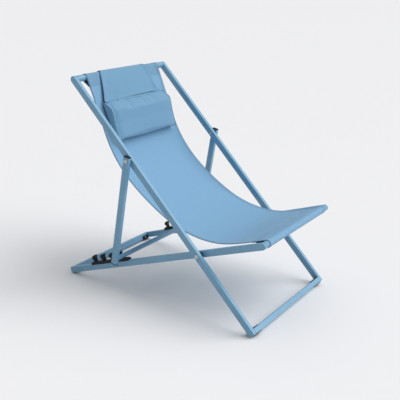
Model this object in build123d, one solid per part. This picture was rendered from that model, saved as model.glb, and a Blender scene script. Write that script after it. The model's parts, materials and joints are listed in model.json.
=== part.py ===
from build123d import *
import os
from math import acos, atan2, cos, degrees, hypot, radians, sin

# Folding sling deck chair: aluminium tube frames, plastic racks and feet, woven sling, head pillow.
# Millimetres.  +Z is up, the chair faces -Y and +X is the sitter's left.
# The origin is on the floor in the middle of the chair's footprint.

os.makedirs("parts", exist_ok=True)

# --- frame tube ---
TUBE_W = 16.0            # rail width, across the chair
TUBE_H = 25.0            # rail height, in the side view
WALL = 1.5
CORNER = 2.0             # corner radius of the tube
BAR_R = 12.5             # round top bar and front bar
FLOOR_BAR_W = 20.0       # floor bars, along the rail

# --- stance ---
BACK_ANGLE = 45.0        # back rails above the floor
SEAT_ANGLE = 20.0        # seat rails above the floor
PIVOT_HEIGHT = 250.0     # scissor pivot above the floor
BACK_REACH = 807.0       # scissor pivot to top bar
SEAT_REACH = 263.0       # scissor pivot to front bar
PROP_REACH = 430.0       # scissor pivot to prop pivot
NOTCH_REACH = 384.0      # scissor pivot to the prop bar in its front notch
FOOT_SKIN = 1.5          # plastic between a floor bar's corner and the floor

# --- across the chair ---
OVERALL_W = 600.0
PROP_GAP = 4.0           # washer between prop leg and back rail
SCISSOR_GAP = 11.0       # spacer between back rail and seat rail
PROP_OUT = OVERALL_W / 2
PROP_IN = PROP_OUT - TUBE_W
BACK_OUT = PROP_IN - PROP_GAP
BACK_IN = BACK_OUT - TUBE_W
SEAT_OUT = BACK_IN - SCISSOR_GAP
SEAT_IN = SEAT_OUT - TUBE_W

# --- prop frame ---
PROP_BAR_R = 9.5
PROP_TOP = 14.0          # leg above its pivot
PROP_TAIL = 17.0         # leg below its bar
CAP = 4.0                # black cap on the leg's top end
PLUG_FLANGE = 4.5        # flange of the plug in the leg's lower end
PLUG_DEPTH = 10.0
CAP_DEPTH = 4.5          # stops short of the pivot's bush

# --- bolts ---
BOLT_R = 4.0
RUNNING = 0.05           # radial clearance of a pivot
HEAD_R = 7.5
HEAD_H = 3.0
NUT_R = 7.5
NUT_H = 5.0
BUSH_R = 6.5
SPACER_R = 9.5
WASHER_R = 10.5
SCREW_R = 2.0
SCREW_HEAD_R = 3.8

# --- racks ---
NOTCHES = 4
PITCH = 48.0
RACK_W = 18.0
RACK_BASE = 8.8          # seat rail's top to the floor of a notch
RACK_TOE = 30.0          # base in front of the first notch
RACK_HEEL = 34.0         # base behind the last hook
RACK_SKIRT = 3.0
RACK_ROUND = 0.6         # edges of the hooks
RACK_SCREW = 7.0         # screw behind its notch
BAR_FIT = 0.3            # air between prop bar and rack

# --- feet ---
FOOT_L = 36.0
FOOT_T = 2.5
FRONT_FOOT_TOP = 10.5    # walls of the front clips above the bar's middle
REAR_FOOT_TOP = 2.5      # the rear clips are lower
FOOT_SCREW = -4.5        # screw below the bar's middle

# --- sling and headrest ---
SLING_W = 440.0
SLING_T = 1.6
LOOP_AIR = 0.5           # pocket loop to bar
SLING_LINE = [(286, 650), (252, 575), (160, 458), (50, 376),
              (-68, 316), (-165, 294), (-250, 294), (-340, 316)]
TOP_LEAVE = 156.0        # where the sling leaves the top bar, degrees about the bar from the rear
FRONT_ARRIVE = 69.0      # where it meets the front bar
BACK_SLOPE = 66.0        # sling at the top bar, below level
FRONT_SLOPE = 21.0       # sling at the front bar, above level
PILLOW_L = 380.0
# Corners of the pillow's section: top seam, front top, front bottom, back bottom.
PILLOW_SECTION = [(306, 738), (256, 720), (222, 589), (251, 585)]
PILLOW_ROUND = (5.0, 16.0, 12.0, 6.0)
PILLOW_END_ROUND = 10.0
FLAP_T = 1.2
FLAP_TOP_W = 256.0
FLAP_LOW_W = 320.0
FLAP_DROP = 80.0         # free end of the flap behind the top bar
SEAM_GAP = 2.0           # flap's lower end to the pillow's seam
HEM_TRIM = 6.0           # hem past each end of the weight
WEIGHT_R = 4.0           # steel rod in the flap's hem
ZIP_L = 300.0
ZIP_W = 5.0
ZIP_T = 1.6

# --- derived ---
HALF_H = TUBE_H / 2
CORNER_Z = CORNER + FOOT_SKIN


def foot_reach(angle):
    """Scissor pivot to a rail's floor end, so that the end's rounded corner is CORNER_Z off the floor."""
    a = radians(angle)
    return CORNER + (PIVOT_HEIGHT - CORNER_Z - (HALF_H - CORNER) * cos(a)) / sin(a)


BACK_FOOT = foot_reach(BACK_ANGLE)
SEAT_FOOT = foot_reach(SEAT_ANGLE)
FRONT_EDGE = SEAT_REACH * cos(radians(SEAT_ANGLE)) + BAR_R + LOOP_AIR + SLING_T
REAR_EDGE = (SEAT_FOOT + FOOT_T) * cos(radians(SEAT_ANGLE)) + HALF_H * sin(radians(SEAT_ANGLE))
PIVOT_Y = (FRONT_EDGE - REAR_EDGE) / 2

# Local frames of the side view: y runs along the rail and z stands off it.
BACK = Location((0, PIVOT_Y, PIVOT_HEIGHT), (BACK_ANGLE, 0, 0))
SEAT = Location((0, PIVOT_Y, PIVOT_HEIGHT), (-SEAT_ANGLE, 0, 0))


def world(frame, y, z):
    """A side-view point of a local frame as (y, z) of the chair."""
    point = (frame * Pos(0, y, z)).position
    return point.Y, point.Z


PROP_PIVOT = world(BACK, PROP_REACH, 0)
NOTCH_Z = HALF_H + RACK_BASE + BAR_FIT + PROP_BAR_R
PROP_BAR_AT = world(SEAT, NOTCH_REACH, NOTCH_Z)
PROP_L = hypot(PROP_PIVOT[0] - PROP_BAR_AT[0], PROP_PIVOT[1] - PROP_BAR_AT[1])
PROP_ANGLE = degrees(atan2(PROP_PIVOT[1] - PROP_BAR_AT[1], PROP_BAR_AT[0] - PROP_PIVOT[0]))
PROP = Location((0, *PROP_PIVOT), (-PROP_ANGLE, 0, 0))
TOP_BAR_AT = world(BACK, BACK_REACH, 0)
FRONT_BAR_AT = world(SEAT, -SEAT_REACH, 0)
FLAP_RING = BAR_R + LOOP_AIR + SLING_T + LOOP_AIR + FLAP_T / 2
FLAP_END = (PILLOW_SECTION[0][0], PILLOW_SECTION[0][1] + SEAM_GAP)


def save(shape, name):
    export_step(shape, f"parts/{name}.step")


def both_sides(make):
    """The right (-X) and left (+X) copies of something made by make(side)."""
    return [("right", make(-1)), ("left", make(1))]


def span_x(outline, inner, outer, side):
    """Extrude a side-view outline between two distances from the middle, on one side."""
    low = min(side * inner, side * outer)
    return extrude(Plane.YZ.offset(low) * outline, abs(outer - inner))


def rod_x(r, inner, outer, side, y=0.0, z=0.0):
    return span_x(Pos(y, z) * Circle(r), inner, outer, side)


def soft_rim(solid, r, axis=Axis.X):
    """Round the outline edges of the two end faces."""
    ends = solid.faces().sort_by(axis)
    return fillet(ends[0].edges() + ends[-1].edges(), r)


# --- tubes ---

def rail(square_end, round_end, inner, outer, side):
    """Closed hollow rail from a square end at the floor to a half-round end about its bar."""
    def outline(wall):
        low, high = sorted((square_end, round_end))
        shift = wall if square_end < round_end else -wall
        body = Pos((low + high + shift) / 2, 0) * Rectangle(high - low - wall, TUBE_H - 2 * wall)
        nose = Pos(round_end, 0) * Circle(HALF_H - wall)
        corners = [v for v in body.vertices() if abs(v.X - square_end - shift) < 0.1]
        return fillet(corners, max(CORNER - wall, 0.4)) + nose
    skin = soft_rim(span_x(outline(0.0), inner, outer, side), CORNER)
    return skin - span_x(outline(WALL), inner + WALL, outer - WALL, side)


def box_tube(width, height, half_length):
    """Rectangular tube across the chair, centred."""
    ring = RectangleRounded(width, height, CORNER) - RectangleRounded(width - 2 * WALL, height - 2 * WALL, 0.5)
    return extrude(Plane.YZ * ring, half_length, both=True)


def round_tube(r, half_length):
    return extrude(Plane.YZ * (Circle(r) - Circle(r - WALL)), half_length, both=True)


def back_rail(side):
    bar = rail(-BACK_FOOT, BACK_REACH, BACK_IN, BACK_OUT, side)
    for y in (0.0, PROP_REACH):
        bar -= rod_x(BOLT_R + RUNNING, BACK_IN, BACK_OUT, side, y)
    return BACK * bar


def seat_rail(side):
    bar = rail(SEAT_FOOT, -SEAT_REACH, SEAT_IN, SEAT_OUT, side)
    bar -= rod_x(BOLT_R + RUNNING, SEAT_IN, SEAT_OUT, side)
    middle = side * (SEAT_IN + SEAT_OUT) / 2
    for y in rack_screw_places():
        bar -= Pos(middle, y, HALF_H) * Cylinder(SCREW_R, 4 * WALL)
    return SEAT * bar


def prop_leg(side):
    """Open tube: the ends take a cap above and a plug below."""
    length = PROP_TOP + PROP_L + PROP_TAIL
    ring = RectangleRounded(TUBE_W, TUBE_H, CORNER)
    ring -= RectangleRounded(TUBE_W - 2 * WALL, TUBE_H - 2 * WALL, 0.5)
    middle = side * (PROP_IN + PROP_OUT) / 2
    leg = extrude(Plane((middle, -PROP_TOP, 0), x_dir=(1, 0, 0), z_dir=(0, 1, 0)) * ring, length)
    leg -= rod_x(BOLT_R + RUNNING, PROP_IN, PROP_OUT, side)
    return PROP * leg


def prop_end(y, direction, thickness, depth):
    """A cap or plug in an open end of a prop leg: a rounded flange with a plug inside the tube."""
    def make(side):
        middle = side * (PROP_IN + PROP_OUT) / 2
        flange = RectangleRounded(TUBE_W, TUBE_H, CORNER)
        core = RectangleRounded(TUBE_W - 2 * WALL, TUBE_H - 2 * WALL, 0.5)
        plane = Plane((middle, y, 0), x_dir=(1, 0, 0), z_dir=(0, direction, 0))
        lid = extrude(plane * flange, thickness)
        rim = lid.faces().sort_by(Axis.Y)[-1 if direction > 0 else 0].edges()
        lid = fillet(rim, min(1.5, thickness * 0.6))
        return PROP * (lid + extrude(plane * core, -depth))
    return Compound(children=[make(-1), make(1)])


# --- pivots ---

def bolt(side, y, head_at, nut_at):
    """Domed socket-head bolt along X, with its head outboard."""
    shank = rod_x(BOLT_R, nut_at - NUT_H - 1.0, head_at, side, y)
    head = rod_x(HEAD_R, head_at, head_at + HEAD_H, side, y)
    rim = head.faces().sort_by(Axis.X)[-1 if side > 0 else 0].edges()
    head = fillet(rim, 2.0)
    socket = span_x(Pos(y, 0) * RegularPolygon(2.6, 6), head_at + HEAD_H - 1.8, head_at + HEAD_H, side)
    return shank + head - socket


def nut(side, y, nut_at):
    """Dome-topped hexagon nut on the inboard face, bored for the shank."""
    hexagon = span_x(Pos(y, 0) * RegularPolygon(NUT_R, 6), nut_at - NUT_H, nut_at, side)
    return hexagon - rod_x(BOLT_R, nut_at - NUT_H, nut_at, side, y)


def ring_x(side, y, inner, outer, r, bore=BOLT_R + RUNNING):
    """Washer, spacer or bush about a pivot."""
    return span_x(Pos(y, 0) * (Circle(r) - Circle(bore)), inner, outer, side)


def group(frame, make):
    return Compound(children=[frame * make(-1), frame * make(1)])


# --- racks ---

def rack_screw_places():
    """Screw positions along the seat rail: between the first two and the last two hooks."""
    return [NOTCH_REACH + k * PITCH + RACK_SCREW for k in (0, NOTCHES - 1)]


def hook_outline():
    """Side view of one hook about the centre of the bar in its notch: y rearwards, z up.

    The hook stands behind the bar and its nose leans over it, cut back so that the bar lifts out forwards.
    """
    face = PROP_BAR_R + BAR_FIT
    floor = -face
    with BuildSketch() as sketch:
        with BuildLine():
            inner = Line((face, floor - 1.0), (face, 4.0))
            under = TangentArc(inner @ 1, (7.2, 10.2), tangent=inner % 1)
            nose = Line(under @ 1, (3.6, 15.4))
            crest = Spline(nose @ 1, (9.0, 17.6), (16.0, 15.0), (22.0, 5.0), (29.0, floor),
                           tangents=((1.0, 0.7), (1.0, -0.1)))
            Polyline(crest @ 1, (29.0, floor - 1.0), inner @ 0)
        make_face()
    return sketch.sketch


def hook(low, high, side):
    """One hook, with the outline edges above its root rounded."""
    solid = span_x(hook_outline(), low, high, side)
    faces = solid.faces().sort_by(Axis.X)
    edges = faces[0].edges() + faces[-1].edges()
    return fillet([e for e in edges if e.center().Z > -PROP_BAR_R / 2], RACK_ROUND)


def rack(side):
    """Rack of open notches screwed on top of a seat rail."""
    middle = (SEAT_IN + SEAT_OUT) / 2
    low, high = middle - RACK_W / 2, middle + RACK_W / 2
    front = NOTCH_REACH - RACK_TOE
    back = NOTCH_REACH + (NOTCHES - 1) * PITCH + RACK_HEEL
    block = Pos((front + back) / 2, HALF_H + RACK_BASE / 2) * Rectangle(back - front, RACK_BASE)
    base = span_x(block, low, high, side)
    ramp = Polyline((front - 1, HALF_H + 5.0), (front - 1, HALF_H + RACK_BASE + 1),
                    (front + RACK_TOE / 2, HALF_H + RACK_BASE + 1), close=True)
    heel = Polyline((back + 1, HALF_H + 3.0), (back + 1, HALF_H + RACK_BASE + 1),
                    (back - 9.0, HALF_H + RACK_BASE + 1), close=True)
    body = base - span_x(make_face(ramp), low, high, side) - span_x(make_face(heel), low, high, side)
    for k in range(NOTCHES):
        body += Pos(0, NOTCH_REACH + k * PITCH, NOTCH_Z) * hook(low, high, side)
    skirt = Pos((front + back) / 2, HALF_H - RACK_SKIRT / 2) * Rectangle(back - front, RACK_SKIRT)
    for inner, outer in ((low, SEAT_IN), (SEAT_OUT, high)):
        body += span_x(skirt, inner, outer, side)
    for y in rack_screw_places():
        body -= Pos(side * middle, y, HALF_H + RACK_BASE - 1.8) * Cylinder(SCREW_HEAD_R + 0.4, 3.6)
        body -= Pos(side * middle, y, HALF_H + RACK_BASE / 2) * Cylinder(SCREW_R, 2 * RACK_BASE)
    return SEAT * body


def rack_screws():
    """Pan-head screws through the rack's base into the rail."""
    screws = []
    for side in (-1, 1):
        middle = side * (SEAT_IN + SEAT_OUT) / 2
        for y in rack_screw_places():
            seat = HALF_H + RACK_BASE - 3.6
            shank = Pos(middle, y, seat - 5.0) * Cylinder(SCREW_R, 10.0)
            head = Pos(middle, y, seat + 1.2) * Cylinder(SCREW_HEAD_R, 2.4)
            screws.append(SEAT * (shank + fillet(head.edges().sort_by(Axis.Z)[-1:], 0.9)))
    return Compound(children=screws)


# --- feet ---

def foot(frame, direction, reach, inner, top, side):
    """Clip around a floor bar with walls up to the given height, and a flat sole on the floor."""
    middle = direction * (reach - FLOOR_BAR_W / 2)
    wrap = Pos(middle, -FOOT_T / 2) * RectangleRounded(FLOOR_BAR_W + 2 * FOOT_T, TUBE_H + FOOT_T, 0.8)
    bar = Pos(middle, 0) * RectangleRounded(FLOOR_BAR_W, TUBE_H, CORNER)
    mouth = Pos(middle, top + TUBE_H / 2) * Rectangle(FLOOR_BAR_W + 4 * FOOT_T, TUBE_H)
    clip = frame * span_x(wrap - bar - mouth, inner - FOOT_L, inner, side)
    below = Pos(side * inner, world(frame, middle, 0)[0], -10.0) * Box(4 * FOOT_L, 120.0, 20.0)
    return clip - below


def foot_screws(frame, direction, reach, inner):
    """One pan-head screw in each foot, through the wall away from the rail's end."""
    screws = []
    for side in (-1, 1):
        face = direction * (reach - FLOOR_BAR_W - FOOT_T)
        centre = Pos(side * (inner - FOOT_L / 2), face, FOOT_SCREW) * Rot(direction * 90, 0, 0)
        head = Pos(0, 0, 1.0) * Cylinder(SCREW_HEAD_R, 2.0)
        screws.append(frame * (centre * fillet(head.edges().sort_by(Axis.Z)[-1:], 0.8)))
    return Compound(children=screws)


# --- sling and headrest ---

def ribbon(line, thickness, steps=24):
    """Outline of a sheet of constant thickness about a side-view line."""
    half = thickness / 2
    upper, lower = [], []
    for k in range(steps + 1):
        point = line.position_at(k / steps)
        tangent = line.tangent_at(k / steps)
        normal = Vector(-tangent.Y, tangent.X, 0)
        upper.append(point + normal * half)
        lower.append(point - normal * half)
    first, last = Spline(*upper), Spline(*lower)
    return make_face([first, Line(first @ 1, last @ 1), last, Line(last @ 0, first @ 0)])


def ring_point(centre, r, angle):
    return centre[0] + r * cos(radians(angle)), centre[1] + r * sin(radians(angle))


def sling():
    """One sheet with a closed pocket loop about the top bar and another about the front bar."""
    inner = BAR_R + LOOP_AIR
    mid = inner + SLING_T / 2
    top = ring_point(TOP_BAR_AT, mid, TOP_LEAVE)
    front = ring_point(FRONT_BAR_AT, mid, FRONT_ARRIVE)
    down = (-cos(radians(BACK_SLOPE)), -sin(radians(BACK_SLOPE)))
    out = (-cos(radians(FRONT_SLOPE)), sin(radians(FRONT_SLOPE)))
    line = Spline(top, *SLING_LINE, front, tangents=(down, out))
    outline = ribbon(line, SLING_T)
    for centre in (TOP_BAR_AT, FRONT_BAR_AT):
        outline += Pos(*centre) * (Circle(inner + SLING_T) - Circle(inner))
    return extrude(Plane.YZ * outline, SLING_W / 2, both=True)


def flap_line():
    """Side view of the flap: from its hem behind the top bar, over the bar, down to the pillow's seam."""
    rear = ring_point(TOP_BAR_AT, FLAP_RING, 0)
    toward = degrees(atan2(FLAP_END[1] - TOP_BAR_AT[1], FLAP_END[0] - TOP_BAR_AT[0])) + 360
    reach = hypot(FLAP_END[0] - TOP_BAR_AT[0], FLAP_END[1] - TOP_BAR_AT[1])
    leave_at = toward - degrees(acos(FLAP_RING / reach))
    leave = ring_point(TOP_BAR_AT, FLAP_RING, leave_at)
    over = ThreePointArc(rear, ring_point(TOP_BAR_AT, FLAP_RING, leave_at / 2), leave)
    return [Line((rear[0], rear[1] - FLAP_DROP), rear), over, Line(leave, FLAP_END)]


def headrest_flap():
    """Sheet over the top bar, wider at the pillow than at the bar."""
    outline = Sketch()
    for stretch in flap_line():
        outline += ribbon(stretch, FLAP_T, steps=8)
    sheet = extrude(Plane.YZ * outline, FLAP_LOW_W / 2, both=True)
    above = TOP_BAR_AT[1] + 2 * FLAP_RING
    below = TOP_BAR_AT[1] - FLAP_DROP - 2 * FLAP_RING
    half_top, half_low = FLAP_TOP_W / 2, FLAP_LOW_W / 2
    even = Polyline((-half_top, below), (-half_top, above), (half_top, above), (half_top, below), close=True)
    taper = Polyline((-half_low, FLAP_END[1] - FLAP_T), (-half_top, TOP_BAR_AT[1]), (-half_top, above),
                     (half_top, above), (half_top, TOP_BAR_AT[1]), (half_low, FLAP_END[1] - FLAP_T), close=True)
    middle = Plane.XZ.offset(-TOP_BAR_AT[0])
    rear = extrude(middle * make_face(even), -4 * FLAP_RING)
    front = extrude(middle * make_face(taper), 2 * FLAP_DROP)
    return (sheet & rear) + (sheet & front)


def counterweight():
    """Steel rod sewn in the hem at the flap's free end."""
    y = TOP_BAR_AT[0] + FLAP_RING
    z = TOP_BAR_AT[1] - FLAP_DROP - WEIGHT_R
    return extrude(Plane.YZ * (Pos(y, z) * Circle(WEIGHT_R)), FLAP_TOP_W / 2 - HEM_TRIM, both=True)


def pillow():
    """Boxy bolster with a sewn edge at the top of its back."""
    outline = make_face(Polyline(*PILLOW_SECTION, close=True))
    for corner, r in zip(PILLOW_SECTION, PILLOW_ROUND):
        at = [v for v in outline.vertices() if hypot(v.X - corner[0], v.Y - corner[1]) < 0.5]
        outline = fillet(at, r)
    return soft_rim(extrude(Plane.YZ * outline, PILLOW_L / 2, both=True), PILLOW_END_ROUND)


def pillow_zip():
    """Zip along the middle of the pillow's underside."""
    (front_y, front_z), (back_y, back_z) = PILLOW_SECTION[2:]
    slope = degrees(atan2(back_z - front_z, back_y - front_y))
    middle = Pos(0, (front_y + back_y) / 2, (front_z + back_z) / 2)
    return middle * Rot(slope, 0, 0) * Pos(0, 0, -ZIP_T / 2) * Box(ZIP_L, ZIP_W, ZIP_T)


# --- write the parts ---

for side_name, shape in both_sides(seat_rail):
    save(shape, f"seat_rail_{side_name}")
for side_name, shape in both_sides(back_rail):
    save(shape, f"back_rail_{side_name}")
for side_name, shape in both_sides(prop_leg):
    save(shape, f"prop_leg_{side_name}")
for side_name, shape in both_sides(rack):
    save(shape, f"rack_{side_name}")
for side_name, shape in both_sides(lambda side: foot(BACK, -1, BACK_FOOT, BACK_IN, FRONT_FOOT_TOP, side)):
    save(shape, f"front_foot_{side_name}")
for side_name, shape in both_sides(lambda side: foot(SEAT, 1, SEAT_FOOT, SEAT_IN, REAR_FOOT_TOP, side)):
    save(shape, f"rear_foot_{side_name}")

save(BACK * Pos(0, BACK_REACH, 0) * round_tube(BAR_R, BACK_IN), "top_bar")
save(SEAT * Pos(0, -SEAT_REACH, 0) * round_tube(BAR_R, SEAT_IN), "front_bar")
save(PROP * Pos(0, PROP_L, 0) * round_tube(PROP_BAR_R, PROP_IN), "prop_bar")
save(BACK * Pos(0, FLOOR_BAR_W / 2 - BACK_FOOT, 0) * box_tube(FLOOR_BAR_W, TUBE_H, BACK_IN), "front_floor_bar")
save(SEAT * Pos(0, SEAT_FOOT - FLOOR_BAR_W / 2, 0) * box_tube(FLOOR_BAR_W, TUBE_H, SEAT_IN), "rear_floor_bar")

save(prop_end(-PROP_TOP, -1, CAP, CAP_DEPTH), "prop_top_caps")
save(prop_end(PROP_L + PROP_TAIL, 1, PLUG_FLANGE, PLUG_DEPTH), "prop_lower_plugs")

save(group(BACK, lambda side: bolt(side, 0, BACK_OUT, SEAT_IN)), "scissor_bolts")
save(group(BACK, lambda side: nut(side, 0, SEAT_IN)), "scissor_nuts")
save(group(BACK, lambda side: ring_x(side, 0, SEAT_OUT, BACK_IN, SPACER_R)), "scissor_spacers")
save(group(BACK, lambda side: ring_x(side, 0, BACK_IN + WALL, BACK_OUT - WALL, BUSH_R)), "scissor_bushes")
save(group(BACK, lambda side: bolt(side, PROP_REACH, PROP_OUT, BACK_IN)), "prop_bolts")
save(group(BACK, lambda side: nut(side, PROP_REACH, BACK_IN)), "prop_nuts")
save(group(BACK, lambda side: ring_x(side, PROP_REACH, BACK_OUT, PROP_IN, WASHER_R)), "prop_washers")
save(group(PROP, lambda side: ring_x(side, 0, PROP_IN + WALL, PROP_OUT - WALL, BUSH_R)), "prop_bushes")

save(rack_screws(), "rack_screws")
save(foot_screws(BACK, -1, BACK_FOOT, BACK_IN), "front_foot_screws")
save(foot_screws(SEAT, 1, SEAT_FOOT, SEAT_IN), "rear_foot_screws")

save(sling(), "sling")
save(headrest_flap(), "headrest_flap")
save(counterweight(), "flap_weight")
save(pillow(), "headrest_pillow")
save(pillow_zip(), "pillow_zip")
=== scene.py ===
# Looks of the folding sling deck chair: powder-coated frame, woven sling, headrest flap and pillow.
# Metres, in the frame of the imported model: +Z up, the chair faces -Y, the origin is on the floor.

import json
from math import acos, atan2, cos, degrees, pi, radians, sin, tau

import bmesh
import bpy
import numpy as np
from mathutils import Matrix, Vector, noise
from mathutils.bvhtree import BVHTree


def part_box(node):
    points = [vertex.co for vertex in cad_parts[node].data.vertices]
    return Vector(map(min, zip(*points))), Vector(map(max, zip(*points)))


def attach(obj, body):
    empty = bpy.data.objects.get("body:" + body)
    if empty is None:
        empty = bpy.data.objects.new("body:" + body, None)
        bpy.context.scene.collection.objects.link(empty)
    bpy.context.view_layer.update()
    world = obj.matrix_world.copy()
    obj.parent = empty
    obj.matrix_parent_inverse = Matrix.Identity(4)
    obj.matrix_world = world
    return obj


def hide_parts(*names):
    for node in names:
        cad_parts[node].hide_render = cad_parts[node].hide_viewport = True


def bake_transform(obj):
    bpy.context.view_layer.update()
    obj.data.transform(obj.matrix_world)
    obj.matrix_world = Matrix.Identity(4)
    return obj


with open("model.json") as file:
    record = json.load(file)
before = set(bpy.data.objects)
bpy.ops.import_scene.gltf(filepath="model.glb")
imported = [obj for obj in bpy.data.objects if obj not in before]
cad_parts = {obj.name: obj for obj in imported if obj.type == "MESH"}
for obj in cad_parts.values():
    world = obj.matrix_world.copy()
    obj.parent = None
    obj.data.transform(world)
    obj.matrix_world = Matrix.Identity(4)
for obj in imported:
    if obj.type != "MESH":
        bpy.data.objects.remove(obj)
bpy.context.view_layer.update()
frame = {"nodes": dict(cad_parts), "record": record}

# --- sizes taken from the frame ---


def bar_centre(node):
    """Side-view centre (y, z) of a bar that runs across the chair."""
    low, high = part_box(node)
    return np.array([(low.y + high.y) / 2, (low.z + high.z) / 2])


def half_width(node):
    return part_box(node)[1].x


TOP_BAR = bar_centre("top_bar")
FRONT_BAR = bar_centre("front_bar")
BAR_R = (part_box("top_bar")[1].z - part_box("top_bar")[0].z) / 2
WEIGHT = bar_centre("flap_weight")
WEIGHT_R = (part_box("flap_weight")[1].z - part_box("flap_weight")[0].z) / 2
SLING_HALF = half_width("sling")
PILLOW_X = -0.005        # the headrest hangs a little to the sitter's right
PILLOW_REACH = half_width("headrest_pillow") + PILLOW_X

# --- sling ---
CLOTH_T = 0.0011
HEM_W = 0.014
FOLD = 0.45 * CLOTH_T    # extra half thickness where a hem lies double
STEP = 0.007             # spacing of points along the sling
POCKET = 0.042           # pocket seam below the bar
ALLOWANCE = 0.012        # cloth past the seam, inside
BAR_AIR = 0.0005
SLING_LINE = [(0.286, 0.650), (0.252, 0.575), (0.160, 0.458), (0.050, 0.376),
              (-0.068, 0.316), (-0.165, 0.294), (-0.250, 0.294), (-0.340, 0.316)]
TOP_LEAVE = 156.0        # where the sling leaves the top bar, degrees about the bar
FRONT_ARRIVE = 69.0      # where it meets the front bar

# --- headrest ---
# Corners of the pillow's section (y, z): top seam, front top, front bottom, back bottom.
SECTION = [np.array(c) for c in ((0.306, 0.738), (0.256, 0.720), (0.222, 0.589), (0.251, 0.585))]
SECTION_ROUND = (0.004, 0.030, 0.008, 0.006)
PILLOW_ANGLE = degrees(atan2(*(SECTION[0] - SECTION[3])[::-1]))
FLAP_TOP_HALF = (0.134, 0.130)      # right and left edges at the top bar
FLAP_LOW_HALF = (0.182, 0.146)      # right and left edges at the pillow: it hangs a little askew
FLAP_HEM = 0.012
ASKEW = 0.007                       # how far the headrest's right end leans back

# --- sewing ---
STITCH = 0.0036          # pitch of the stitches
STITCH_L = 0.0028
THREAD_R = 0.00035
SEAM_ROWS = 0.006        # spacing of the two rows across a pocket seam
THREAD_OUT = CLOTH_T / 2 + THREAD_R * 0.3    # thread's middle off the cloth's middle


# --- shader maths ---

class Socket:
    """A shader value that adds Math nodes when it is used in an expression."""

    def __init__(self, paint, socket):
        self.paint, self.socket = paint, socket

    def math(self, operation, *values):
        return self.paint.node("ShaderNodeMath", {"operation": operation}, *values)[0]

    def __add__(self, other):
        return self.math("ADD", self, other)

    def __radd__(self, other):
        return self.math("ADD", other, self)

    def __sub__(self, other):
        return self.math("SUBTRACT", self, other)

    def __rsub__(self, other):
        return self.math("SUBTRACT", other, self)

    def __mul__(self, other):
        return self.math("MULTIPLY", self, other)

    def __rmul__(self, other):
        return self.math("MULTIPLY", other, self)

    def __truediv__(self, other):
        return self.math("DIVIDE", self, other)

    def __rtruediv__(self, other):
        return self.math("DIVIDE", other, self)

    def sin(self):
        return self.math("SINE", self)

    def abs(self):
        return self.math("ABSOLUTE", self)

    def fract(self):
        return self.math("FRACT", self)

    def floor(self):
        return self.math("FLOOR", self)

    def ramp(self, low, high):
        """0 below low, 1 above high and smooth between."""
        settings = {"interpolation_type": "SMOOTHSTEP"}
        return self.paint.node("ShaderNodeMapRange", settings, self, low, high, 0.0, 1.0)[0]


class Paint:
    """A material under construction: one Principled shader and the nodes that feed it."""

    def __init__(self, name, **constants):
        self.material = bpy.data.materials.new(name)
        self.material.use_nodes = True
        self.tree = self.material.node_tree
        self.shader = self.tree.nodes["Principled BSDF"]
        for socket, value in constants.items():
            self.shader.inputs[socket.replace("_", " ")].default_value = value

    def node(self, kind, settings=None, *values, **named):
        """Add a node, set it up, then fill its sockets by order or by name. Returns its outputs."""
        made = self.tree.nodes.new(kind)
        for key, value in (settings or {}).items():
            if key == "stops":
                for stop, (place, colour) in zip(made.color_ramp.elements, value):
                    stop.position, stop.color = place, colour
            else:
                setattr(made, key, value)
        for socket, value in zip([i for i in made.inputs if i.enabled], values):
            self.feed(socket, value)
        for key, value in named.items():
            self.feed(made.inputs[key.replace("_", " ")], value)
        return [Socket(self, out) for out in made.outputs if out.enabled]

    def feed(self, socket, value):
        if isinstance(value, Socket):
            self.tree.links.new(value.socket, socket)
        elif value is not None:
            socket.default_value = value

    def set(self, name, value):
        self.feed(self.shader.inputs[name], value)

    def place(self):
        """Object coordinates in metres."""
        return self.node("ShaderNodeTexCoord")[3]

    def split(self, vector):
        return self.node("ShaderNodeSeparateXYZ", None, vector)

    def join(self, x, y, z=0.0):
        return self.node("ShaderNodeCombineXYZ", None, x, y, z)[0]

    def noise(self, vector, scale, detail=2.0, rough=0.5):
        return self.node("ShaderNodeTexNoise", None,
                         Vector=vector, Scale=scale, Detail=detail, Roughness=rough)[0]

    def stretch(self, vector, scale):
        return self.node("ShaderNodeVectorMath", {"operation": "MULTIPLY"}, vector, scale)[0]

    def mix(self, factor, a, b):
        """Colour a where factor is 0 and b where it is 1."""
        made = self.tree.nodes.new("ShaderNodeMix")
        made.data_type = "RGBA"
        self.feed(made.inputs[0], factor)
        self.feed(made.inputs[6], a)
        self.feed(made.inputs[7], b)
        return Socket(self, made.outputs[2])

    def bump(self, height, distance, strength=1.0):
        normal = self.node("ShaderNodeBump", None, Strength=strength, Distance=distance, Height=height)[0]
        self.set("Normal", normal)


def rgb(r, g, b):
    return (r, g, b, 1.0)


def toned(colour, factor):
    """The colour made lighter or darker by a factor."""
    return rgb(*[min(1.0, c * factor) for c in colour])


# --- materials ---

def powder_coat(name, colour, dusty):
    """Satin powder coat: fine orange peel, faint mottling, scuffs where the frame meets the ground."""
    paint = Paint(name, Specular_IOR_Level=0.45, Coat_Roughness=0.25)
    at = paint.place()
    peel = paint.noise(at, 900.0, 2.0, 0.6)
    mottle = paint.noise(at, 14.0, 3.0, 0.55)
    height = paint.split(at)[2]
    scratch = paint.noise(paint.stretch(at, (1.0, 0.18, 0.18)), 420.0, 3.0, 0.7).ramp(0.66, 0.72)
    low = 1.0 - height.ramp(0.01, 0.09)
    scuff = scratch * low
    shade = paint.mix(mottle.ramp(0.3, 0.7), toned(colour, 0.96), toned(colour, 1.04))
    paint.set("Base Color", paint.mix(scuff * 0.6, shade, rgb(*dusty)))
    paint.set("Roughness", 0.34 + mottle * 0.10 + scuff * 0.25)
    paint.set("Coat Weight", 0.25 - scuff * 0.2)
    paint.bump(peel * 0.7 + scratch * low * 0.3, 0.00012, 0.5)
    return paint.material


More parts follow.
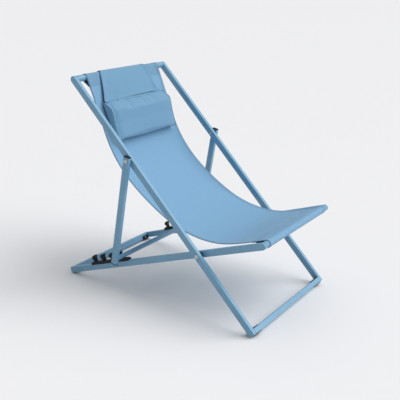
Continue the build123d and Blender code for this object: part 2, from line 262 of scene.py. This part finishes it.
def moulded_nylon(name, colour):
    """Black moulded nylon: fine spark-eroded grain with worn, shinier high spots."""
    paint = Paint(name, Specular_IOR_Level=0.3)
    at = paint.place()
    grain = paint.noise(at, 1600.0, 2.0, 0.6)
    patch = paint.noise(at, 60.0, 2.0)
    paint.set("Base Color", paint.mix(patch.ramp(0.35, 0.7), rgb(*colour), toned(colour, 1.7)))
    paint.set("Roughness", 0.42 + grain * 0.12 + patch * 0.08)
    paint.bump(grain, 0.00008, 0.5)
    return paint.material


def zinc_plate(name):
    """Zinc-plated steel: soft grey with fine turning marks."""
    paint = Paint(name, Metallic=1.0)
    at = paint.place()
    cloud = paint.noise(at, 260.0, 3.0, 0.6)
    marks = paint.noise(paint.stretch(at, (4000.0, 300.0, 300.0)), 1.0, 1.0)
    paint.set("Base Color", paint.mix(cloud, rgb(0.45, 0.46, 0.48), rgb(0.62, 0.63, 0.64)))
    paint.set("Roughness", 0.26 + cloud * 0.18)
    paint.bump(marks, 0.00002, 0.5)
    return paint.material


def weave(name, colour, pitch, plane=None, half=None, doubled=()):
    """Coated-yarn plain weave. It follows the piece's UV map in metres, or a plane turned in its own frame.

    half is where the side edges lie, darkened there as painted shade along the hem's edge, and doubled
    gives the stretches of the length with two layers, which let less light through and look darker.
    """
    paint = Paint(name, Specular_IOR_Level=0.3, Sheen_Weight=0.12, Sheen_Roughness=0.5)
    if plane is None:
        across, along, _ = paint.split(paint.node("ShaderNodeUVMap", {"uv_map": "cloth"})[0])
    else:
        turned = paint.node("ShaderNodeMapping", {"vector_type": "POINT"}, Vector=paint.place(),
                            Rotation=(-radians(plane), 0.0, 0.0))[0]
        across, along, _ = paint.split(turned)
    count_x, count_y = across / pitch, along / pitch
    warp = (count_x.fract() * pi).sin()
    weft = (count_y.fract() * pi).sin()
    over = ((count_x.floor() + count_y.floor()) / 2.0).fract().ramp(0.2, 0.3)
    cell_w = warp * (0.55 + 0.45 * weft)
    cell_f = weft * (0.55 + 0.45 * warp)
    height = over * cell_w + (1.0 - over) * cell_f
    yarn_x = paint.noise(paint.join(across * 900.0, along * 18.0), 1.0, 1.0)
    yarn_y = paint.noise(paint.join(across * 18.0, along * 900.0, 3.0), 1.0, 1.0)
    yarn = over * yarn_x + (1.0 - over) * yarn_y
    soft = paint.noise(paint.join(across, along), 9.0, 3.0, 0.6)
    # Painted shade: each yarn is darker towards its edges and where it dips under the crossing yarn, and
    # lighter on its raised tops.
    dye_and_shade = paint.mix(height.ramp(0.05, 0.55), toned(colour, 0.62), toned(colour, 1.07))
    dye_and_shade = paint.mix(yarn.ramp(0.25, 0.75) * 0.22, dye_and_shade, toned(colour, 0.8))
    dye_and_shade = paint.mix(soft.ramp(0.4, 0.75) * 0.10, dye_and_shade, toned(colour, 0.85))
    for first, last in doubled:
        band = along.ramp(first - 0.002, first + 0.002) * (1.0 - along.ramp(last - 0.002, last + 0.002))
        dye_and_shade = paint.mix(band * 0.75, dye_and_shade, toned(colour, 0.72))
    # Painted shade: a dark line along both side edges stands for the hem's edge falling into shade.
    if half:
        edge_shade = across.abs().ramp(half - 0.0045, half - 0.0035)
        dye_and_shade = paint.mix(edge_shade * 0.8, dye_and_shade, toned(colour, 0.45))
    paint.set("Base Color", dye_and_shade)
    paint.set("Roughness", 0.62 + (1.0 - height) * 0.2 + soft * 0.06)
    paint.bump(height + yarn * 0.15, 0.0003, 0.55)
    return paint.material


def thread(name, colour):
    """Twisted polyester sewing thread."""
    paint = Paint(name, Specular_IOR_Level=0.35, Sheen_Weight=0.2)
    twist = paint.noise(paint.place(), 2600.0, 1.0)
    paint.set("Base Color", paint.mix(twist, toned(colour, 0.8), rgb(*colour)))
    paint.set("Roughness", 0.55 + twist * 0.15)
    paint.bump(twist, 0.00006, 0.5)
    return paint.material


def floor_finish(name, colour):
    return Paint(name, Roughness=0.85, Specular_IOR_Level=0.15, Base_Color=rgb(*colour)).material


FRAME_BLUE = (0.165, 0.355, 0.520)
SLING_BLUE = (0.195, 0.390, 0.590)
PILLOW_BLUE = (0.165, 0.340, 0.515)
FLAP_BLUE = (0.160, 0.335, 0.505)
COAT = powder_coat("frame_powder_coat", FRAME_BLUE, (0.42, 0.47, 0.50))
NYLON = moulded_nylon("black_nylon", (0.004, 0.0045, 0.005))
ZINC = zinc_plate("zinc_plate")


# --- mesh helpers ---

def piece(name, verts, faces, material, smooth=True):
    mesh = bpy.data.meshes.new(name)
    mesh.from_pydata([tuple(v) for v in verts], [], faces)
    mesh.update()
    made = bpy.data.objects.new(name, mesh)
    bpy.context.scene.collection.objects.link(made)
    mesh.materials.append(material)
    for polygon in mesh.polygons:
        polygon.use_smooth = smooth
    return made


def smooth_path(points, start, end, step):
    """Clamped cubic spline through side-view points, resampled at about one step."""
    p = np.array(points, float)
    h = np.linalg.norm(np.diff(p, axis=0), axis=1)
    n = len(p)
    a, b = np.zeros((n, n)), np.zeros((n, 2))
    a[0, 0], a[-1, -1], b[0], b[-1] = 1, 1, start, end
    for i in range(1, n - 1):
        a[i, i - 1], a[i, i], a[i, i + 1] = h[i], 2 * (h[i - 1] + h[i]), h[i - 1]
        b[i] = 3 * (h[i] * (p[i] - p[i - 1]) / h[i - 1] + h[i - 1] * (p[i + 1] - p[i]) / h[i])
    slope = np.linalg.solve(a, b)
    line = []
    for i in range(n - 1):
        count = max(2, round(h[i] / step))
        for t in np.arange(count) / count:
            line.append((2 * t**3 - 3 * t**2 + 1) * p[i] + (t**3 - 2 * t**2 + t) * h[i] * slope[i]
                        + (3 * t**2 - 2 * t**3) * p[i + 1] + (t**3 - t**2) * h[i] * slope[i + 1])
    return line + [p[-1]]


def arc(centre, r, start, end, step=8.0):
    """Points about a centre, from one angle to another in degrees."""
    count = max(2, round(abs(end - start) / step))
    angles = [radians(start + (end - start) * k / count) for k in range(count + 1)]
    return [centre + r * np.array([cos(a), sin(a)]) for a in angles]


def heading(angle):
    return np.array([cos(radians(angle)), sin(radians(angle))])


def tangent_angle(centre, r, point, turn):
    """Angle at which a straight run from a point touches a circle, on the side given by turn."""
    off = point - centre
    return degrees(atan2(off[1], off[0]) + turn * acos(min(1.0, r / np.linalg.norm(off))))


def straight(a, b, step):
    count = max(1, round(np.linalg.norm(b - a) / step))
    return [a + (b - a) * k / count for k in range(count + 1)]


def run_length(line):
    return float(np.sum(np.linalg.norm(np.diff(np.array(line), axis=0), axis=1)))


def normals_of(line):
    """Unit side-view normals, to the left of the direction of travel."""
    p = np.array(line)
    t = np.gradient(p, axis=0)
    t /= np.linalg.norm(t, axis=1)[:, None]
    return np.stack([-t[:, 1], t[:, 0]], axis=1)


def columns(right, left, hem, step):
    """Places across a cloth from its right edge to its left: (x, share of the hem's extra thickness)."""
    count = 2 * round((right + left - 2 * hem) / step / 2) + 1
    inner = [(x, 0.0) for x in np.linspace(hem - right, left - hem, count)]
    edge = (0.0004, hem * 0.5, hem - 0.0006)
    first = [(-right, 0.5)] + [(e - right, 1.0) for e in edge]
    last = [(left - e, 1.0) for e in reversed(edge)] + [(left, 0.5)]
    return first + inner + last


def cloth(name, line, edges_at, hem, material, ripple=None, step=0.012):
    """A closed sheet of cloth that follows a side-view line, with folded hems along both sides.

    edges_at(row) gives the distances from the middle to the right and left edges.
    """
    p, n = np.array(line), normals_of(line)
    travel = np.concatenate([[0], np.cumsum(np.linalg.norm(np.diff(p, axis=0), axis=1))])
    wide = len(columns(*edges_at(0), hem, step))
    verts, uvs = [], []
    for side in (1, -1):
        for row, (q, m, s) in enumerate(zip(p, n, travel)):
            right, left = edges_at(row)
            grow = step * (right + left - 2 * hem) / (sum(edges_at(0)) - 2 * hem)
            for x, folded in columns(right, left, hem, grow):
                lift = side * (CLOTH_T / 2 + folded * FOLD)
                if ripple:
                    lift += ripple(x, s, row)
                verts.append((x, q[0] + m[0] * lift, q[1] + m[1] * lift))
                uvs.append((x, s))
    rows = len(p)
    under = rows * wide
    faces = []
    for r in range(rows - 1):
        for c in range(wide - 1):
            a = r * wide + c
            faces.append((a, a + 1, a + wide + 1, a + wide))
            faces.append((under + a, under + a + wide, under + a + wide + 1, under + a + 1))
        a, b = r * wide, (r + 1) * wide
        faces.append((a, b, under + b, under + a))
        faces.append((a + wide - 1, under + a + wide - 1, under + b + wide - 1, b + wide - 1))
    for c in range(wide - 1):
        last = (rows - 1) * wide
        faces.append((c, under + c, under + c + 1, c + 1))
        faces.append((last + c, last + c + 1, under + last + c + 1, under + last + c))
    made = piece(name, verts, faces, material)
    layer = made.data.uv_layers.new(name="cloth")
    for loop in made.data.loops:
        layer.data[loop.index].uv = uvs[loop.vertex_index]
    outward(made)
    return made


def outward(made):
    """Turn all faces outwards."""
    work = bmesh.new()
    work.from_mesh(made.data)
    bmesh.ops.recalc_face_normals(work, faces=work.faces)
    work.to_mesh(made.data)
    work.free()


# --- side view of the cloth ---

def sling_run():
    """Side view: pocket behind the top bar, over it, down the seat, round the front bar and back."""
    r = BAR_R + BAR_AIR + CLOTH_T / 2
    ends = TOP_BAR + r * heading(TOP_LEAVE), FRONT_BAR + r * heading(FRONT_ARRIVE)
    main = smooth_path([ends[0], *SLING_LINE, ends[1]],
                       heading(TOP_LEAVE + 90), heading(FRONT_ARRIVE + 90), STEP)
    gap = CLOTH_T * 1.25

    def pocket(ordered, centre, turn):
        """Layer under the main sheet, from cut edge to seam, and the angle where it meets the bar."""
        off = normals_of(ordered)
        reach, line = 0.0, []
        for k in range(1, len(ordered)):
            reach += np.linalg.norm(ordered[k] - ordered[k - 1])
            if POCKET < reach < POCKET + ALLOWANCE + STEP:
                line.append(ordered[k] + turn * off[k] * gap)
        line.reverse()
        return line, tangent_angle(centre, r, line[-1], turn)

    top_flap, top_touch = pocket(main, TOP_BAR, 1)
    front_flap, front_touch = pocket(main[::-1], FRONT_BAR, -1)
    top_touch = (top_touch + 90) % 360 - 90
    front_touch = (front_touch - FRONT_ARRIVE) % 360 + FRONT_ARRIVE
    top = top_flap[:-1] + straight(top_flap[-1], TOP_BAR + r * heading(top_touch), STEP)[:-1]
    top += arc(TOP_BAR, r, top_touch, TOP_LEAVE)[:-1]
    front = arc(FRONT_BAR, r, FRONT_ARRIVE, front_touch)[1:]
    front += straight(front[-1], front_flap[-1], STEP)[1:]
    front += front_flap[::-1][1:]
    return top, main, front


SLING_TOP, SLING_MAIN, SLING_FRONT = sling_run()
SEAT_FROM = run_length(SLING_TOP + SLING_MAIN[:1])
SEAT_TO = SEAT_FROM + run_length(SLING_MAIN)
SLING_END = SEAT_TO + run_length(SLING_MAIN[-1:] + SLING_FRONT)

SLING_WEAVE = weave("sling_weave", SLING_BLUE, 0.0013, half=SLING_HALF,
                    doubled=[(-0.01, SEAT_FROM + POCKET), (SEAT_TO + 0.03, SLING_END + 0.01)])
FLAP_WEAVE = weave("flap_weave", FLAP_BLUE, 0.0013)
PILLOW_WEAVE = weave("pillow_weave", PILLOW_BLUE, 0.0011, plane=PILLOW_ANGLE)
THREAD = thread("sewing_thread", (0.15, 0.32, 0.50))
SLOT_MATERIAL = {"painted_frame": COAT, "black_nylon": NYLON, "zinc_steel": ZINC,
                 "woven_sling": SLING_WEAVE, "pillow_fabric": PILLOW_WEAVE, "zip_tape": THREAD}


# --- stitches ---

def stitch_tree():
    """Geometry Nodes: thread capsules laid along a line of edges."""
    tree = bpy.data.node_groups.new("stitch_rows", "GeometryNodeTree")
    face = tree.interface
    face.new_socket("Geometry", in_out="INPUT", socket_type="NodeSocketGeometry")
    for label, value in (("Pitch", STITCH), ("Length", STITCH_L), ("Radius", THREAD_R)):
        face.new_socket(label, in_out="INPUT", socket_type="NodeSocketFloat").default_value = value
    face.new_socket("Material", in_out="INPUT", socket_type="NodeSocketMaterial")
    face.new_socket("Geometry", in_out="OUTPUT", socket_type="NodeSocketGeometry")
    add, link = tree.nodes.new, tree.links.new
    given, out = add("NodeGroupInput"), add("NodeGroupOutput")
    to_curve = add("GeometryNodeMeshToCurve")
    resample = add("GeometryNodeResampleCurve")
    points = add("GeometryNodeCurveToPoints")
    resample.mode = "LENGTH"
    points.mode = "EVALUATED"
    capsule, shape = add("GeometryNodeMeshUVSphere"), add("GeometryNodeTransform")
    for label, value in (("Segments", 6), ("Rings", 5), ("Radius", 1.0)):
        capsule.inputs[label].default_value = value
    scale = add("ShaderNodeCombineXYZ")
    half = add("ShaderNodeMath")
    half.operation = "MULTIPLY"
    half.inputs[1].default_value = 0.5
    instance = add("GeometryNodeInstanceOnPoints")
    realize = add("GeometryNodeRealizeInstances")
    paint = add("GeometryNodeSetMaterial")
    link(given.outputs["Geometry"], to_curve.inputs[0])
    link(to_curve.outputs[0], resample.inputs["Curve"])
    link(given.outputs["Pitch"], resample.inputs["Length"])
    link(resample.outputs[0], points.inputs[0])
    link(given.outputs["Length"], half.inputs[0])
    link(given.outputs["Radius"], scale.inputs[0])
    link(given.outputs["Radius"], scale.inputs[1])
    link(half.outputs[0], scale.inputs[2])
    link(capsule.outputs["Mesh"], shape.inputs["Geometry"])
    link(scale.outputs[0], shape.inputs["Scale"])
    link(points.outputs["Points"], instance.inputs["Points"])
    link(points.outputs["Rotation"], instance.inputs["Rotation"])
    link(shape.outputs[0], instance.inputs["Instance"])
    link(instance.outputs[0], realize.inputs[0])
    link(realize.outputs[0], paint.inputs["Geometry"])
    link(given.outputs["Material"], paint.inputs["Material"])
    link(paint.outputs[0], out.inputs[0])
    return tree


STITCHES = stitch_tree()


def stitches(name, rows, pitch=STITCH, length=STITCH_L, radius=THREAD_R):
    """Plain mesh of the stitches along several rows of points."""
    verts, edges = [], []
    for row in rows:
        edges += [(len(verts) + k, len(verts) + k + 1) for k in range(len(row) - 1)]
        verts += [tuple(p) for p in row]
    mesh = bpy.data.meshes.new(name + "_rows")
    mesh.from_pydata(verts, edges, [])
    rows_object = bpy.data.objects.new(name + "_rows", mesh)
    bpy.context.scene.collection.objects.link(rows_object)
    modifier = rows_object.modifiers.new("stitches", "NODES")
    modifier.node_group = STITCHES
    identifiers = {s.name: s.identifier for s in STITCHES.interface.items_tree if s.in_out == "INPUT"}
    for label, value in (("Pitch", pitch), ("Length", length), ("Radius", radius), ("Material", THREAD)):
        modifier[identifiers[label]] = value
    bpy.context.view_layer.update()
    graph = bpy.context.evaluated_depsgraph_get()
    made = bpy.data.objects.new(name, bpy.data.meshes.new_from_object(rows_object.evaluated_get(graph)))
    made.data.name = name
    bpy.context.scene.collection.objects.link(made)
    bpy.data.objects.remove(rows_object)
    for polygon in made.data.polygons:
        polygon.use_smooth = True
    return made


# --- sling ---

def sling():
    line = SLING_TOP + SLING_MAIN + SLING_FRONT
    first, last = len(SLING_TOP), len(SLING_TOP) + len(SLING_MAIN)

    def ripple(x, s, row):
        """Faint pull lines that fade away from each pocket seam."""
        near_top = np.exp(-abs(row - first - 6) / 9.0) * (row > first)
        near_front = np.exp(-abs(last - row - 6) / 9.0) * (row < last)
        soft = noise.noise(Vector((x * 26.0, s * 4.0, 0.3))) * 0.0007
        return soft * (0.3 + near_top + near_front) * (first < row < last)

    made = cloth("sling_cloth", line, lambda row: (SLING_HALF, SLING_HALF), HEM_W, SLING_WEAVE, ripple)
    return made, (2 * (SLING_HALF + HEM_W), run_length(line))


def sling_stitches():
    """Two rows across each pocket seam and two along each side hem, on the upper side."""
    p, n = np.array(SLING_MAIN), normals_of(SLING_MAIN)
    travel = np.concatenate([[0], np.cumsum(np.linalg.norm(np.diff(p, axis=0), axis=1))])
    above = -1.0 if n[len(n) // 2][1] < 0 else 1.0
    out = above * THREAD_OUT
    edge = 0.004
    rows = []
    for place in (POCKET, POCKET + SEAM_ROWS, travel[-1] - POCKET, travel[-1] - POCKET - SEAM_ROWS):
        k = int(np.argmin(abs(travel - place)))
        at = p[k] + n[k] * out
        rows.append([(x, *at) for x in np.linspace(edge - SLING_HALF, SLING_HALF - edge, 40)])
    for side in (-1, 1):
        for inset in (edge, HEM_W - 0.0035):
            rows.append([(side * (SLING_HALF - inset), *(q + m * (out + above * FOLD)))
                         for q, m in zip(p[1:-1], n[1:-1])])
    return stitches("sling_stitches", rows)


# --- headrest flap ---

def flap_run():
    """Side view: round the weight in its hem, up behind the top bar, over it, down to the pillow's seam."""
    r = BAR_R + 2 * BAR_AIR + 2 * CLOTH_T + 0.0008
    wrap_r = WEIGHT_R + CLOTH_T / 2 + 0.0003
    across = (SECTION[1] - SECTION[0]) / np.linalg.norm(SECTION[1] - SECTION[0])
    seam = SECTION[0] + across * 0.004 + np.array([0.0, 0.0016])
    hem = arc(WEIGHT, wrap_r, 110, 360, 18.0)
    back = straight(hem[-1], TOP_BAR + np.array([r, 0.0]), 0.008)[1:-1]
    toward = seam - TOP_BAR
    leave = degrees(atan2(toward[1], toward[0])) + 360 - degrees(acos(r / np.linalg.norm(toward)))
    over = arc(TOP_BAR, r, 0, leave)
    down = straight(over[-1], seam, 0.006)[1:] + [seam + across * 0.006 - np.array([0.0, 0.0006])]
    return hem + back + over + down, len(hem) + len(back) + len(over) // 2


def flap():
    line, over = flap_run()
    last = len(line) - 1

    def edges_at(row):
        share = max(0.0, (row - over) / (last - over))
        return tuple(top + (low - top) * share ** 1.3 for top, low in zip(FLAP_TOP_HALF, FLAP_LOW_HALF))

    def ripple(x, s, row):
        """Slight fullness between the bar and the pillow."""
        share = max(0.0, (row - over) / (last - over))
        swell = sin(pi * min(1.0, share)) * (share < 1.0)
        full = swell * (0.0022 + noise.noise(Vector((x * 14.0, s * 9.0, 1.7))) * 0.0022)
        return above * (full + ASKEW * share ** 2 * min(x, 0.0) / PILLOW_REACH)

    n = normals_of(line)
    above = -1.0 if n[-4][0] > 0 else 1.0
    made = cloth("headrest_flap_cloth", line, edges_at, FLAP_HEM, FLAP_WEAVE, ripple)
    rows = []
    for side, which in ((-1, 0), (1, 1)):
        for inset in (0.003, FLAP_HEM - 0.003):
            row = []
            for k in range(over // 2, last - 1):
                edge = edges_at(k)[which]
                lift = above * (THREAD_OUT + FOLD) + ripple(side * edge, 0, k)
                row.append((side * (edge - inset), *(line[k] + n[k] * lift)))
            rows.append(row)
    sewn = stitches("headrest_flap_stitches", rows)
    wide = sum(FLAP_LOW_HALF)
    cut = run_length(line) * ((sum(FLAP_TOP_HALF) + wide) / 2 + 2 * FLAP_HEM)
    return made, sewn, (wide + 2 * FLAP_HEM, run_length(line)), cut


# --- pillow ---

def rounded_section(inset):
    """The pillow's section with rounded corners, moved inwards a little, as evenly spaced points."""
    line = []
    for k, (corner, r) in enumerate(zip(SECTION, SECTION_ROUND)):
        before, after = SECTION[k - 1] - corner, SECTION[(k + 1) % 4] - corner
        before, after = before / np.linalg.norm(before), after / np.linalg.norm(after)
        half = acos(float(np.clip(before @ after, -1, 1))) / 2
        reach = r / np.tan(half)
        start, end = corner + before * reach, corner + after * reach
        for t in np.linspace(0, 1, 9):
            line.append((1 - t) ** 2 * start + 2 * t * (1 - t) * corner + t ** 2 * end)
    line = np.array(line + line[:1])
    middle = line[:-1].mean(axis=0)
    travel = np.concatenate([[0], np.cumsum(np.linalg.norm(np.diff(line, axis=0), axis=1))])
    places = np.linspace(0, travel[-1], 73)[:-1]
    ring = np.stack([np.interp(places, travel, line[:, i]) for i in (0, 1)], axis=1)
    off = ring - middle
    size = np.linalg.norm(off, axis=1)[:, None]
    from_seam = np.linalg.norm(ring - SECTION[0], axis=1)[:, None]
    inset = inset * (1 - 0.8 * np.exp(-(from_seam / 0.02) ** 2))
    return middle + off * (size - inset) / size


def section_at(share, inset):
    """The section at a share of the half length: flatter, and lower at the top, towards the sewn ends."""
    ring = rounded_section(inset)
    up = heading(PILLOW_ANGLE)
    front = heading(PILLOW_ANGLE + 90)
    along, off = (ring - SECTION[3]) @ up, (ring - SECTION[3]) @ front
    tall = np.linalg.norm(SECTION[0] - SECTION[3])
    height = np.clip(along / tall, 0, 1)
    along = along - 0.007 * abs(share) ** 3 * height
    off = off * (1 - 0.16 * abs(share) ** 5)
    line = SECTION[3] + along[:, None] * up + off[:, None] * front
    line[:, 0] += ASKEW * max(0.0, -share) * height
    line[:, 1] -= (0.004 + 0.008 * (1 - abs(share) ** 3)) * (1 - height) * np.clip(off / 0.03, 0, 1)
    return line


def pillow_shell():
    """Starting form of the pillow: a boxy bolster with flat sewn ends."""
    verts, faces = [], []
    stations = np.concatenate([[-1.0, -0.99], np.linspace(-0.96, 0.96, 41), [0.99, 1.0]])
    for share in stations:
        ring = section_at(share, 0.0035 + (0.0030 if abs(share) == 1.0 else 0.0))
        verts += [(PILLOW_X + share * (PILLOW_REACH - 0.001), y, z) for y, z in ring]
    around = len(ring)
    for i in range(len(stations) - 1):
        for k in range(around):
            a, b = i * around + k, i * around + (k + 1) % around
            faces.append((a, b, b + around, a + around))
    for i in (0, len(stations) - 1):
        faces.append(tuple(i * around + k for k in range(around)))
    made = piece("headrest_pillow_cover", verts, faces, PILLOW_WEAVE)
    outward(made)
    return made


def apply_all(made):
    """Bake an object's modifiers into its mesh."""
    graph = bpy.context.evaluated_depsgraph_get()
    mesh = bpy.data.meshes.new_from_object(made.evaluated_get(graph))
    made.modifiers.clear()
    made.data = mesh


def remesh(made, size):
    modifier = made.modifiers.new("remesh", "REMESH")
    modifier.mode = "VOXEL"
    modifier.voxel_size = size
    apply_all(made)


def puff(made, pressure, frames, cap):
    """Cloth simulation that swells a closed cover and lets it wrinkle, each point kept within a cap."""
    start = np.array([v.co for v in made.data.vertices])
    held = made.vertex_groups.new(name="sewn")
    seam = Vector((0, *SECTION[0]))
    for v in made.data.vertices:
        at_end = PILLOW_REACH - abs(v.co.x - PILLOW_X)
        at_seam = (Vector((0, v.co.y, v.co.z)) - seam).length
        weight = max(0.0, 1.0 - at_end / 0.008, 1.0 - at_seam / 0.012)
        held.add([v.index], min(1.0, weight), "REPLACE")
    sim = made.modifiers.new("cloth", "CLOTH")
    for setting, value in (("quality", 6), ("mass", 0.25), ("tension_stiffness", 18),
                           ("compression_stiffness", 6), ("bending_stiffness", 0.6), ("use_pressure", True),
                           ("uniform_pressure_force", pressure), ("shrink_min", -0.02),
                           ("vertex_group_mass", "sewn")):
        setattr(sim.settings, setting, value)
    sim.settings.effector_weights.gravity = 0
    sim.collision_settings.use_collision = False
    scene = bpy.context.scene
    scene.frame_start, scene.frame_end = 1, frames
    for k in range(1, frames + 1):
        scene.frame_set(k)
        bpy.context.view_layer.update()
    graph = bpy.context.evaluated_depsgraph_get()
    swollen = made.evaluated_get(graph).to_mesh()
    end = np.array([v.co for v in swollen.vertices])
    made.modifiers.clear()
    scene.frame_set(1)
    move = end - start
    size = np.linalg.norm(move, axis=1)
    move *= (np.minimum(size, cap) / np.maximum(size, 1e-9))[:, None]
    made.data.vertices.foreach_set("co", (start + move).ravel())
    made.data.update()


def pillow():
    made = pillow_shell()
    remesh(made, 0.0045)
    puff(made, 4.0, 20, 0.006)
    smooth = made.modifiers.new("smooth", "SUBSURF")
    smooth.levels = smooth.render_levels = 1
    apply_all(made)
    for polygon in made.data.polygons:
        polygon.use_smooth = True
    if not made.data.materials:
        made.data.materials.append(PILLOW_WEAVE)
    return made


def cord_along(name, path, r, material, closed, sides=8):
    """A thin round cord along side-by-side points, closed into a ring or with rounded ends."""
    path = [Vector(p) for p in path]
    count = len(path)
    verts, faces = [], []
    for k, p in enumerate(path):
        before = path[k - 1] if closed or k else p
        after = path[(k + 1) % count] if closed or k < count - 1 else p
        t = (after - before).normalized()
        side = t.cross(Vector((1, 0, 0)))
        side = side.normalized() if side.length > 0.3 else t.cross(Vector((0, 0, 1))).normalized()
        up = t.cross(side)
        thin = 1.0 if closed or 0 < k < count - 1 else 0.4
        verts += [p + (side * cos(tau * j / sides) + up * sin(tau * j / sides)) * r * thin
                  for j in range(sides)]
    for k in range(count if closed else count - 1):
        for j in range(sides):
            a, b = k * sides, (k + 1) % count * sides
            faces.append((a + j, a + (j + 1) % sides, b + (j + 1) % sides, b + j))
    if not closed:
        faces += [tuple(range(sides)), tuple((count - 1) * sides + j for j in range(sides))]
    made = piece(name, verts, faces, material)
    outward(made)
    return made


def pillow_seams():
    """Piped seams round both ends of the pillow, and the seam that takes the flap."""
    seams = []
    for label, side in (("right", -1), ("left", 1)):
        x = PILLOW_X + side * (PILLOW_REACH - 0.0035)
        ring = [(x, y, z) for y, z in section_at(side * 0.98, 0.0034)]
        seams.append(cord_along(f"pillow_seam_{label}", ring, 0.0013, PILLOW_WEAVE, True))
    places = np.linspace(-0.985, 0.985, 61)
    top = [(PILLOW_X + x * PILLOW_REACH, *section_at(x, 0.0045)[4]) for x in places]
    seams.append(cord_along("pillow_seam_top", top, 0.0016, PILLOW_WEAVE, False))
    return seams


def zipper(cover):
    """Zip on the underside, laid on the filled cover: two tapes and a row of teeth between them."""
    low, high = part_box("pillow_zip")
    middle = (SECTION[2] + SECTION[3]) / 2
    run = (SECTION[3] - SECTION[2]) / np.linalg.norm(SECTION[3] - SECTION[2])
    down = np.array([run[1], -run[0]])
    down = down if down[1] < 0 else -down
    half = high.x - 0.002
    surface = BVHTree.FromPolygons([v.co for v in cover.data.vertices],
                                   [tuple(f.vertices) for f in cover.data.polygons])
    clear, bedded = 0.05, 0.0003
    above = Vector((0, *(middle + down * clear)))
    count = 61
    places = np.linspace(-half, half, count)
    reach = [surface.ray_cast(above + Vector((x, 0, 0)), Vector((0, *-down)))[3] or clear for x in places]

    def base(x):
        return middle + down * (clear - np.interp(x, places, reach) - bedded)

    verts, faces = [], []
    near, far, thick = 0.0004, 0.0024, 0.0006
    for side in (-1, 1):
        for x in places:
            for off, lift in ((near, thick), (far, thick), (far, 0.0), (near, 0.0)):
                verts.append((x, *(base(x) + run * side * off + down * lift)))
    for strip in (0, count * 4):
        for k in range(count - 1):
            for j in range(4):
                a, b = strip + k * 4, strip + (k + 1) * 4
                faces.append((a + j, a + (j + 1) % 4, b + (j + 1) % 4, b + j))
        faces.append((strip, strip + 1, strip + 2, strip + 3))
        faces.append(tuple(strip + (count - 1) * 4 + j for j in range(4)))
    tapes = piece("pillow_zip_tape", verts, faces, THREAD, smooth=False)
    outward(tapes)
    row = [(x, *(base(x) + down * thick)) for x in np.linspace(-half + 0.004, half - 0.004, 80)]
    teeth = stitches("pillow_zip_teeth", [row], pitch=0.0016, length=0.0011, radius=0.0010)
    return tapes, teeth


# --- floor, light and camera ---

def sky_panel(name, toward, strength, spread):
    """Broad, even studio light from one direction, softened by its spread in degrees."""
    lamp = bpy.data.lights.new(name, "SUN")
    lamp.energy, lamp.angle = strength, radians(spread)
    made = bpy.data.objects.new(name, lamp)
    made.rotation_euler = Vector(toward).to_track_quat("Z", "Y").to_euler()
    bpy.context.scene.collection.objects.link(made)


def studio():
    reach = 60.0
    corners = [(-reach, -reach, 0), (reach, -reach, 0), (reach, reach, 0), (-reach, reach, 0)]
    floor = piece("studio_floor", corners, [(0, 1, 2, 3)], floor_finish("pale_floor", (0.81, 0.81, 0.82)))
    world = bpy.data.worlds.new("studio")
    bpy.context.scene.world = world
    world.use_nodes = True
    tree = world.node_tree
    fill = tree.nodes["Background"]
    fill.inputs["Color"].default_value = (0.97, 0.98, 1.0, 1.0)
    fill.inputs["Strength"].default_value = 0.30
    wall = tree.nodes.new("ShaderNodeBackground")
    wall.inputs["Color"].default_value = (0.86, 0.86, 0.88, 1.0)
    seen = tree.nodes.new("ShaderNodeLightPath")
    choose = tree.nodes.new("ShaderNodeMixShader")
    tree.links.new(seen.outputs["Is Camera Ray"], choose.inputs[0])
    tree.links.new(fill.outputs[0], choose.inputs[1])
    tree.links.new(wall.outputs[0], choose.inputs[2])
    tree.links.new(choose.outputs[0], tree.nodes["World Output"].inputs["Surface"])
    sky_panel("key", (0.60, -1.0, 1.10), 2.45, 60)
    sky_panel("top", (0.1, 0.1, 1.0), 0.80, 80)
    bpy.context.scene.view_settings.view_transform = "Standard"


def camera():
    """A long lens from the sitter's front right, a little above."""
    heading_deg, pitch, roll = 56.13, -18.73, 1.08
    data = bpy.data.cameras.new("camera")
    data.lens, data.sensor_width = 62.3, 36.0
    made = bpy.data.objects.new("camera", data)
    h, p = radians(heading_deg), radians(pitch)
    forward = Vector((sin(h) * cos(p), cos(h) * cos(p), sin(p)))
    turn = forward.to_track_quat("-Z", "Y").to_matrix() @ Matrix.Rotation(radians(roll), 3, "Z")
    made.matrix_world = Matrix.Translation((-2.158, -1.470, 1.233)) @ turn.to_4x4()
    bpy.context.scene.collection.objects.link(made)
    bpy.context.scene.camera = made


# --- putting it together ---

def finish_cad():
    """Give every kept CAD node its material."""
    slots = {part["node"]: part["material_slot"] for part in frame["record"]["subparts"]}
    for name, node in frame["nodes"].items():
        node.data.materials.clear()
        node.data.materials.append(SLOT_MATERIAL[slots[name]])


camera()
studio()
finish_cad()

cloth_piece, cloth_flat = sling()
sewn = sling_stitches()
for part in (cloth_piece, sewn):
    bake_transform(part)
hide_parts("sling")

flap_piece, flap_sewn, flap_flat, flap_area = flap()
for part in (flap_piece, flap_sewn):
    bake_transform(part)
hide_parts("headrest_flap")

pillow_piece = pillow()
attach(pillow_piece, "headrest")
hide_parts("headrest_pillow")
for seam in pillow_seams():
    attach(seam, "headrest")
zip_tape, zip_teeth = zipper(pillow_piece)
for part in (zip_tape, zip_teeth):
    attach(part, "headrest")
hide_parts("pillow_zip")
